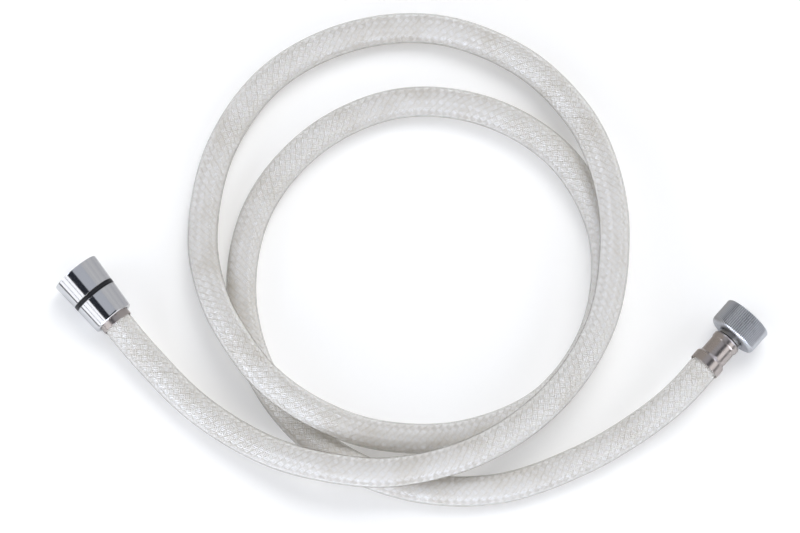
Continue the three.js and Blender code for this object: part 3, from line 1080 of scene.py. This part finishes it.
@dataclass
class HandsetEnd:
    """The handset's end: a swivel inside a cone of two chromed halves with a black ring between them.

    Args:
        place: where its axis lies.
        ferrule: the ferrule at its rear.
        thread: the thread in the cone nut.
        barbs: the barbs on the tail.
        rear: place of the cone's rear end.
        mouth: place of its mouth.
        rear_radius: radius at its rear end.
        slope: gain of radius for each millimetre forward.
        bores: bore radius of the sleeve and of the black ring.
        sleeve_front: place where the sleeve ends.
        ring: rear and front of the black ring.
        nut_rear: place where the cone nut begins.
        web: front of the nut's web and radius of its hole.
        collar: radius, rear and front of the tail's collar.
        socket: outer and inner radius of the tail's socket.
        socket_ends: floor and front of the socket.
        snap_groove: rear, front and radius of the snap ring's groove in the socket.
        snap: inner radius, outer radius, width and half the open angle of the snap ring.
        stem: radius, rear end and seal-groove radius of the spindle.
        seals: places of the O-rings.
        seal_ring: middle radius of an O-ring and radius of its section.
        seal_groove: width of an O-ring's groove.
        snap_floor: radius of the spindle's groove for the snap ring.
        flange: radius, rear and front of the spindle's flange.
        gap: room behind the snap ring and on both sides of the slip washer.
        waterway: radius of the waterway.
        washer: bore radius, rear and front of the sealing washer.
    """

    place: Fitting = HANDSET
    ferrule: Ferrule = Ferrule(6.7)
    thread: PipeThread = PipeThread()
    barbs: Barbs = Barbs(4)
    rear: float = -8.0
    mouth: float = 20.4
    rear_radius: float = 9.9
    slope: float = 0.065141
    bores: Tuple[float, float] = (8.0, 6.9)
    sleeve_front: float = 5.05
    ring: Tuple[float, float] = (5.35, 7.05)
    nut_rear: float = 7.35
    web: Tuple[float, float] = (9.6, 7.0)
    collar: Tuple[float, float, float] = (7.7, 1.4, 4.8)
    socket: Tuple[float, float] = (6.6, 4.9)
    socket_ends: Tuple[float, float] = (2.4, 8.9)
    snap_groove: Tuple[float, float, float] = (7.0, 8.3, 5.55)
    snap: Tuple[float, float, float, float] = (4.25, 5.25, 0.8, 0.35)
    stem: Tuple[float, float, float] = (4.6, 2.7, 3.4)
    seals: Tuple[float, float] = (3.9, 5.8)
    seal_ring: Tuple[float, float] = (4.15, 0.45)
    seal_groove: float = 1.4
    snap_floor: float = 3.95
    flange: Tuple[float, float, float] = (8.95, 9.9, 11.5)
    gap: float = 0.25
    waterway: float = 2.4
    washer: Tuple[float, float, float] = (5.0, 11.8, 13.8)

    def radius(self, distance: float) -> float:
        """The cone's outer radius at a place along the axis."""
        return self.rear_radius + (distance - self.rear) * self.slope

    def sleeve(self) -> bpy.types.Object:
        """The rear half of the cone, with a rounded rear edge."""
        bore, rear, front = self.bores[0], self.rear, self.sleeve_front
        corners = np.array([
            (bore, rear, 0.2), (self.radius(rear) - 0.02, rear, 1.25), (self.radius(front), front, 0.12),
            (bore, front, 0.15),
        ])  # fmt: skip
        return self.place.turned("cone_sleeve_shell", rounded(corners[:, :2], corners[:, 2], 8), 160)

    def trim(self) -> bpy.types.Object:
        """The black ring, flush with the cone."""
        rear, front = self.ring
        bore = self.bores[1]
        outer = [(self.radius(place) - 0.03, place) for place in self.ring]
        outline = rounded([(bore, rear), *outer, (bore, front)], 0.12)
        return self.place.turned("trim_ring_shell", outline, 160)

    def nut(self) -> bpy.types.Object:
        """The front half of the cone: a nut with a rounded rim and the thread in its bore."""
        web, hole = self.web
        rear, mouth = self.nut_rear, self.mouth
        bore, lead_in = self.thread.crest, self.thread.lead_in
        corners = np.array([
            (hole, web, 0.15), (hole, rear, 0.12), (self.radius(rear), rear, 0.12),
            (self.radius(mouth), mouth, 0.6), (bore + lead_in, mouth, 0.1), (bore, mouth - lead_in, 0.1),
            (bore, web, 0.1),
        ])  # fmt: skip
        shape = rounded(corners[:, :2], corners[:, 2], 6)
        per_corner = len(shape) // len(corners)
        shape = np.vstack([shape[:-per_corner], self.thread.rows(web, mouth), shape[1 - per_corner :]])

        def carve(radius: Array, distance: Array, angle: Array) -> Array:
            """Sinks the thread into the bore."""
            return radius + self.thread.cut(radius, distance, angle, web, mouth)

        return self.place.turned("cone_nut_shell", shape, 160, carve)

    def tail(self) -> bpy.types.Object:
        """The brass tail: barbs, collar and socket."""
        collar, rear, front = self.collar
        outer, inner = self.socket
        floor, mouth = self.socket_ends
        low, high, groove = self.snap_groove
        corners = [
            *self.barbs.outline(self.waterway, rear), (collar, rear), (collar, front), (outer, front),
            (outer, mouth), (inner, mouth), (inner, high), (groove, high), (groove, low), (inner, low),
            (inner, floor), (self.waterway, floor),
        ]  # fmt: skip
        return self.place.turned("handset_tail_shell", rounded(corners, 0.12, 3), 96)

    def spindle(self) -> bpy.types.Object:
        """The brass spindle: a stem with grooves for the seals and the snap ring, and the flange."""
        stem, rear, groove = self.stem
        rise = ((stem, -0.5), (groove, -0.5), (groove, 0.5), (stem, 0.5))
        seals = [(radius, place + side * self.seal_groove) for place in self.seals for radius, side in rise]
        low, high, _ = self.snap_groove
        rim, back, front = self.flange
        corners = [
            (self.waterway, rear), (stem, rear), *seals, (stem, low), (self.snap_floor, low),
            (self.snap_floor, high), (stem, high), (stem, back), (rim, back), (rim, front),
            (self.waterway, front),
        ]  # fmt: skip
        return self.place.turned("spindle_shell", rounded(corners, 0.1, 3), 96)

    def o_ring(self, number: int) -> bpy.types.Object:
        """An O-ring: a circle about its place, carried round the axis."""
        turn = np.linspace(0, 2 * np.pi, 16, endpoint=False)
        middle, radius = self.seal_ring
        outline = np.stack([middle + radius * np.cos(turn), self.seals[number] + radius * np.sin(turn)], -1)
        return self.place.turned(f"o_ring_shell_{number + 1}", outline, 72)

    def snap_ring(self) -> bpy.types.Object:
        """The snap ring: a flat strip bent round the axis, with an open gap.

        Its section is a rectangle with rounded corners, carried from one side of the gap to the other. The
        last rows at each end draw in to the section's middle, which closes the ends.
        """
        inner, outer, width, half_gap = self.snap
        low, full = self.snap_groove[0] + self.gap, 2 * np.pi
        section = rounded([(inner, low), (outer, low), (outer, low + width), (inner, low + width)], 0.12, 3)
        middle = section.mean(0)
        whole = np.linspace(half_gap + 0.01, full - half_gap - 0.01, 90)
        turn = np.concatenate([[half_gap], whole, [full - half_gap]])
        size = np.concatenate([[0.86], np.ones(len(whole)), [0.86]])
        outline = middle + (section - middle)[None] * size[:, None, None]
        angle = np.broadcast_to(turn[:, None] + np.pi / 2, outline.shape[:2])
        grid = self.place.around(outline[..., 0], outline[..., 1], angle)
        rows, columns = grid.shape[:2]
        corner_rows, corner_columns = lattice(rows, columns, False)
        faces = corner_rows * columns + corner_columns % columns
        uv = np.stack([corner_columns / columns, turn[corner_rows] * (inner + outer) / 2], -1)
        ends = np.stack([np.arange(columns)[::-1], (rows - 1) * columns + np.arange(columns)])
        return put_in_mesh("snap_ring_shell", grid, [(faces, uv), (ends, np.zeros((2, columns, 2)))])

    def build(self) -> List[bpy.types.Object]:
        """Builds and dresses every piece of the handset's end."""
        turned = self.place.turned
        inner, rear, front = self.washer
        rim, back, _ = self.flange
        slip = washer(self.socket[1], self.socket[0], self.socket_ends[1] + self.gap, back - self.gap)
        seal = washer(inner, rim, rear, front)
        nut = Body.HANDSET_NUT
        ferrule = turned("handset_ferrule_shell", self.ferrule.outline())
        made = [
            dress(ferrule, FERRULE_STEEL, Slot.FERRULE, Body.HOSE, "handset_ferrule"),
            dress(self.tail(), BRASS, Slot.BRASS, Body.HOSE, "handset_hose_tail"),
            dress(self.snap_ring(), SPRING_STEEL, Slot.STEEL, Body.HOSE, "snap_ring"),
            dress(turned("slip_washer_shell", slip), ACETAL, Slot.ACETAL, Body.HOSE, "slip_washer"),
            dress(self.sleeve(), CHROME, Slot.CHROME, Body.HOSE, "cone_sleeve"),
            dress(self.trim(), BLACK_PLASTIC, Slot.BLACK, Body.HOSE, "trim_ring"),
            dress(self.spindle(), BRASS, Slot.BRASS, Body.SPINDLE, "swivel_spindle"),
            dress(self.nut(), CHROME, Slot.CHROME, nut, "cone_nut"),
            dress(turned("handset_washer_shell", seal), RUBBER, Slot.RUBBER, nut, "handset_washer"),
        ]
        for number in range(len(self.seals)):
            node = f"spindle_o_ring_{number + 1}"
            made.append(dress(self.o_ring(number), RUBBER, Slot.RUBBER, Body.SPINDLE, node))
        return made


@dataclass
class MixerEnd:
    """The mixer's end: a long ferrule, a tail with a flange, and a knurled nut that turns on it.

    Args:
        place: where its axis lies.
        ferrule: the ferrule.
        thread: the thread in the nut.
        barbs: the barbs on the tail.
        nut: rear and mouth of the nut.
        radius: outer radius of the nut over the knurl.
        rear_round: radius of the nut's rounded rear edge.
        knurls: number of ridges.
        knurl_depth: depth of the grooves between them.
        web: front of the nut's web and radius of its hole.
        shoulder: radius, rear and front of the tail's shoulder.
        neck: radius of the tail's neck.
        flange: radius, rear and front of the tail's flange.
        waterway: radius of the waterway.
        washer: bore radius, rear and front of the sealing washer.
    """

    place: Fitting = MIXER
    ferrule: Ferrule = Ferrule(11.9)
    thread: PipeThread = PipeThread()
    barbs: Barbs = Barbs(5)
    nut: Tuple[float, float] = (3.0, 15.6)
    radius: float = 12.0
    rear_round: float = 2.2
    knurls: int = KNURLS
    knurl_depth: float = 0.45
    web: Tuple[float, float] = (5.2, 6.3)
    shoulder: Tuple[float, float, float] = (5.8, 1.4, 2.2)
    neck: float = 5.4
    flange: Tuple[float, float, float] = (8.95, 5.5, 7.1)
    waterway: float = 2.4
    washer: Tuple[float, float, float] = (5.0, 7.4, 9.4)

    def knurled_nut(self) -> bpy.types.Object:
        """The nut: a turned blank whose outside is cut by rounded grooves, with the thread in its bore.

        The outside's radius is the least of the blank's and R - depth · groove, where the groove is
        0.5 - 0.5 cos(knurls · a) raised to a power that widens the ridges. The first corner of each
        rounded stretch only gives the direction of what follows, and is left out.
        """
        rear, mouth = self.nut
        web, hole = self.web
        radius, rear_round = self.radius, self.rear_round
        bore, lead_in = self.thread.crest, self.thread.lead_in
        turn = np.linspace(0, np.pi / 2, 10)
        edge = np.stack([radius - rear_round * (1 - np.sin(turn)), rear + rear_round * (1 - np.cos(turn))], 1)
        inner = [(hole + 3, rear), (hole, web), (hole, rear + 0.6), (hole + 0.6, rear)]
        outer = [
            (radius, mouth - 3), (radius, mouth - 0.5), (radius - 0.5, mouth), (bore + lead_in, mouth),
            (bore, mouth - lead_in),
        ]  # fmt: skip
        hole_edge, mouth_edge = rounded(inner, [0, 0.1, 0.1, 0.1]), rounded(outer, [0, 0.2, 0.2, 0.1, 0.1])
        per_corner = len(hole_edge) // len(inner)
        web_face = [(bore, web + 0.1), (bore - 0.1, web), (hole + 0.3, web)]
        shape = np.vstack([
            hole_edge[per_corner:], edge, mouth_edge[per_corner:], self.thread.rows(web, mouth), web_face
        ])  # fmt: skip

        def carve(blank: Array, distance: Array, angle: Array) -> Array:
            """Cuts the knurl outside and the thread inside."""
            groove = (0.5 - 0.5 * np.cos(self.knurls * angle)) ** 1.4
            knurled = np.minimum(blank, self.radius - self.knurl_depth * groove)
            return knurled + self.thread.cut(blank, distance, angle, web, mouth)

        return self.place.turned("knurled_nut_shell", shape, self.knurls * 8, carve)

    def tail(self) -> bpy.types.Object:
        """The nickel-plated tail: barbs, shoulder, neck and flange."""
        shoulder, rear, front = self.shoulder
        rim, back, face = self.flange
        corners = [
            *self.barbs.outline(self.waterway, rear), (shoulder, rear), (shoulder, front), (self.neck, front),
            (self.neck, back), (rim, back), (rim, face), (self.waterway, face),
        ]  # fmt: skip
        return self.place.turned("mixer_tail_shell", rounded(corners, 0.15, 3), 96)

    def build(self) -> List[bpy.types.Object]:
        """Builds and dresses every piece of the mixer's end."""
        turned = self.place.turned
        inner, rear, front = self.washer
        ferrule = turned("mixer_ferrule_shell", self.ferrule.outline())
        seal = washer(inner, self.flange[0], rear, front)
        return [
            dress(ferrule, FERRULE_STEEL, Slot.FERRULE, Body.HOSE, "mixer_ferrule"),
            # the tail's nickel carries painted shade from the nut over it
            dress(self.tail(), NICKEL, Slot.NICKEL, Body.HOSE, "mixer_hose_tail"),
            dress(self.knurled_nut(), KNURL_CHROME, Slot.CHROME, Body.MIXER_NUT, "knurled_nut"),
            dress(turned("mixer_washer_shell", seal), RUBBER, Slot.RUBBER, Body.MIXER_NUT, "mixer_washer"),
        ]


# Studio


@dataclass
class Studio:
    """The camera, the floor, the light and what the metal mirrors.

    Args:
        elevation: the camera's angle over the floor, in degrees.
        target: the point that it looks at, in metres.
        distance: its distance, in metres.
        span: width of its view at the target, in metres.
        sun: strength of the soft light.
        sun_direction: where the soft light comes from.
        sun_angle: how wide the soft light is, in degrees.
        floor: the floor's colour.
        floor_half: half of its width, in metres.
        floor_level: its height, just under the lowest piece, in metres.
        floor_glow: a faint glow of the floor that only the camera sees.
        overhead: the grey of the room overhead.
        cards: the white of the cards in front.
        low_light: colour of the light boxes round it, which are brighter than white.
        boxes: direction and half angle of each light box.
    """

    elevation: float = 75.0
    target: Tuple[float, float, float] = (-0.0044, -0.0022, 0.0)
    distance: float = 6.0
    span: float = 0.3716
    sun: float = 1.35
    sun_direction: Tuple[float, float, float] = (0.25, 0.45, 0.86)
    sun_angle: float = 38.0
    floor: Colour = (0.8, 0.795, 0.78)
    floor_half: float = 4.0
    floor_level: float = -0.00002
    floor_glow: Colour = (0.26, 0.26, 0.26)
    overhead: Colour = (0.45, 0.465, 0.51)
    cards: Colour = (1.15, 1.15, 1.18)
    low_light: Colour = (4.3, 4.6, 5.3)
    boxes: Tuple[Tuple[Tuple[float, float, float], float], ...] = (
        ((-0.35, -0.92, 0.17), 13.0), ((0.2, -0.96, 0.18), 12.0), ((-0.86, -0.48, 0.17), 11.0),
        ((-0.77, 0.0, 0.62), 8.0), ((0.77, 0.2, 0.6), 8.0),
    )  # fmt: skip

    def place_camera(self) -> None:
        """Puts the camera at the photograph's angle, with straight ahead along +Y."""
        tilt = np.radians(self.elevation)
        back = Vector((0.0, -np.cos(tilt), np.sin(tilt)))
        data = bpy.data.cameras.new("camera")
        data.sensor_width = 36.0
        data.lens = 36.0 * self.distance / self.span
        data.clip_start, data.clip_end = 0.05, 50.0
        camera = bpy.data.objects.new("camera", data)
        camera.rotation_mode = "QUATERNION"
        camera.location = Vector(self.target) + back * self.distance
        camera.rotation_quaternion = (-back).to_track_quat("-Z", "Y")
        bpy.context.scene.collection.objects.link(camera)
        bpy.context.scene.camera = camera

    def board(
        self,
        name: str,
        corners: Sequence[Sequence[float]],
        look: Callable[[Graph], bpy.types.NodeSocket],
        only_mirrored: bool = False,
    ) -> None:
        """Puts up a flat board of the studio.

        Args:
            name: its name, and its material's.
            corners: its four corners in metres.
            look: adds the shader to the material's graph and gives its output.
            only_mirrored: whether mirrors alone show it.
        """
        mesh = bpy.data.meshes.new(name)
        mesh.from_pydata(corners, [], [(0, 1, 2, 3)])
        made = bpy.data.objects.new(name, mesh)
        if only_mirrored:
            made.visible_camera = made.visible_diffuse = False
            made.visible_shadow = made.visible_transmission = False
        bpy.context.scene.collection.objects.link(made)
        material = bpy.data.materials.new(name)
        material.use_nodes = True
        graph = Graph(material.node_tree)
        graph.node("OutputMaterial", inputs={"Surface": look(graph)})
        mesh.materials.append(material)

    def lay_floor(self) -> None:
        """Lays a dull white floor under the hose."""

        def look(graph: Graph) -> bpy.types.NodeSocket:
            """Dull white, with a glow that only the camera sees."""
            inputs = {
                "Base Color": (*self.floor, 1.0),
                "Roughness": 0.9,
                "Specular IOR Level": 0.0,
                "Emission Color": graph.mix(graph.seen(), (0.0, 0.0, 0.0), self.floor_glow),
                "Emission Strength": 1.0,
            }
            return graph.node("BsdfPrincipled", inputs=inputs).outputs[0]

        half = self.floor_half
        corners = [(x * half, y * half, self.floor_level) for x, y in ((-1, -1), (1, -1), (1, 1), (-1, 1))]
        self.board("floor", corners, look)

    def hang_light(self) -> None:
        """Hangs one wide soft light over the far right side."""
        data = bpy.data.lights.new("soft light", "SUN")
        data.energy = self.sun
        data.angle = float(np.radians(self.sun_angle))
        light = bpy.data.objects.new("soft light", data)
        light.rotation_mode = "QUATERNION"
        light.rotation_quaternion = Vector(self.sun_direction).to_track_quat("Z", "Y")
        light.visible_glossy = False
        bpy.context.scene.collection.objects.link(light)

    def stand_card(
        self,
        name: str,
        corners: Sequence[Array],
        tone: Tuple[Colour, Colour],
        fine: float = 90.0,
        split: float = 0.5,
        soft: float = 0.15,
    ) -> None:
        """Stands a card beside a fitting, which only mirrors show.

        Args:
            name: the card's name.
            corners: its four corners in millimetres.
            tone: the two greys of its streaks.
            fine: how fine the streaks are, in cells a metre.
            split: share of the noise that has the first grey.
            soft: how far the two greys run into each other.
        """

        def look(graph: Graph) -> bpy.types.NodeSocket:
            """Light of two greys in level streaks, from noise that only changes upwards."""
            streaks = graph.noise(graph.stretched("Object", (0.0, 0.0, 1.0)), fine, 2.0)
            greys = graph.mix(graph.step(streaks, split - soft, split + soft), *tone)
            return graph.node("Emission", inputs={"Color": greys}).outputs[0]

        self.board(name, [tuple(corner * MM) for corner in corners], look, only_mirrored=True)

    def stand_cards(self) -> None:
        """Stands a grey card behind each metal end, and a streaked one before the cone over a dark strip."""
        level = np.array((1.0, 1.0, 0.0))
        blue = (0.05, 0.08, 0.14)
        for name, fitting, across, height, tone, streaks in (
            ("cone card", HANDSET, 24.0, 60.0, ((0.44, 0.44, 0.46), (0.52, 0.52, 0.53)), ()),
            ("ferrule card", MIXER, -22.0, 60.0, ((0.38, 0.37, 0.36), (0.46, 0.44, 0.42)), ()),
            ("streaked card", HANDSET, -75.0, 76.0, (self.cards, blue), (150.0, 0.56, 0.02)),
        ):
            foot = fitting.cut_end * level + across * fitting.side
            reach, rise = fitting.along * level, np.array((0.0, 0.0, height))
            rear, front = foot - 25 * reach, foot + 40 * reach
            self.stand_card(name, [rear, front, front + rise, rear + rise], tone, *streaks)
        # painted shadow: a dark band on the floor, seen only in mirrors, for the shadow that the cone mirrors
        middle, reach = HANDSET.cut_end * level + (0, 0, 0.1), HANDSET.along * level
        near, far = middle - 47 * HANDSET.side, middle - 74 * HANDSET.side
        strip = [far - 30 * reach, far + 50 * reach, near + 50 * reach, near - 30 * reach]
        self.stand_card("painted shadow strip", strip, ((0.05, 0.05, 0.06), (0.08, 0.08, 0.1)))

    def surround(self) -> None:
        """Makes a white background, and a room for the metal to mirror.

        The room is grey overhead and white in front, with light boxes round it. Each fitting has cards and
        dark gaps, which are slices between two angles about its axis, measured from the direction in which
        its middle line mirrors the room.
        """
        world = bpy.data.worlds.new("studio")
        bpy.context.scene.world = world
        world.use_nodes = True
        graph = Graph(world.node_tree)
        direction = graph.node("TexCoord").outputs["Generated"]
        tilt = np.radians(self.elevation)
        view = np.array([0.0, -np.cos(tilt), np.sin(tilt)])
        front = graph.step(graph.dot(direction, (0.0, -1.0, 0.0)), 0.3, 0.8)
        colour = graph.mix(front, self.overhead, self.cards)
        dark = (0.02, 0.022, 0.03)
        slices = (
            (HANDSET, ((-38.5, -7.3, dark), (-118.0, -38.5, self.cards))),
            (MIXER, ((0.0, 28.0, dark), (28.0, 62.0, self.cards), (66.0, 90.0, dark))),
        )
        for fitting, cards in slices:
            axis = np.array(fitting.along)
            ahead = view - axis * (view @ axis)
            ahead /= np.linalg.norm(ahead)
            across = np.cross(axis, ahead)
            angle = graph.math("ARCTAN2", graph.dot(direction, across), graph.dot(direction, ahead))
            reach = 1.0 - graph.step(abs(graph.dot(direction, axis)), 0.6, 0.75)
            for low, high, shade in cards:
                mask = graph.band(angle, np.radians(low), np.radians(high), 0.012) * reach
                colour = graph.mix(mask, colour, shade)
        for toward, half_angle in self.boxes:
            centre = np.array(toward) / np.linalg.norm(toward)
            outside, inside = (np.cos(np.radians(half_angle + soft)) for soft in (4, -4))
            near = graph.step(graph.dot(direction, centre), outside, inside)
            colour = graph.mix(near, colour, self.low_light)
        shown = graph.mix(graph.seen(), colour, (1.0, 1.0, 1.0))
        background = graph.node("Background", inputs={"Color": shown, "Strength": 1.0})
        graph.node("OutputWorld", inputs={"Surface": background.outputs[0]})


def main() -> None:
    """Builds the studio and the hose."""
    logging.basicConfig(level=logging.INFO, format="%(name)s %(message)s")
    bpy.context.scene.view_settings.view_transform = "Standard"
    studio = Studio()
    studio.place_camera()
    mixer_end = MixerEnd().build()
    hose = BraidedHose()
    hose.build(mixer_end)
    log.info("hose length %.1f mm", hose.line.length)
    HandsetEnd().build()
    studio.lay_floor()
    studio.hang_light()
    studio.stand_cards()
    studio.surround()


if __name__ == "__main__":
    main()
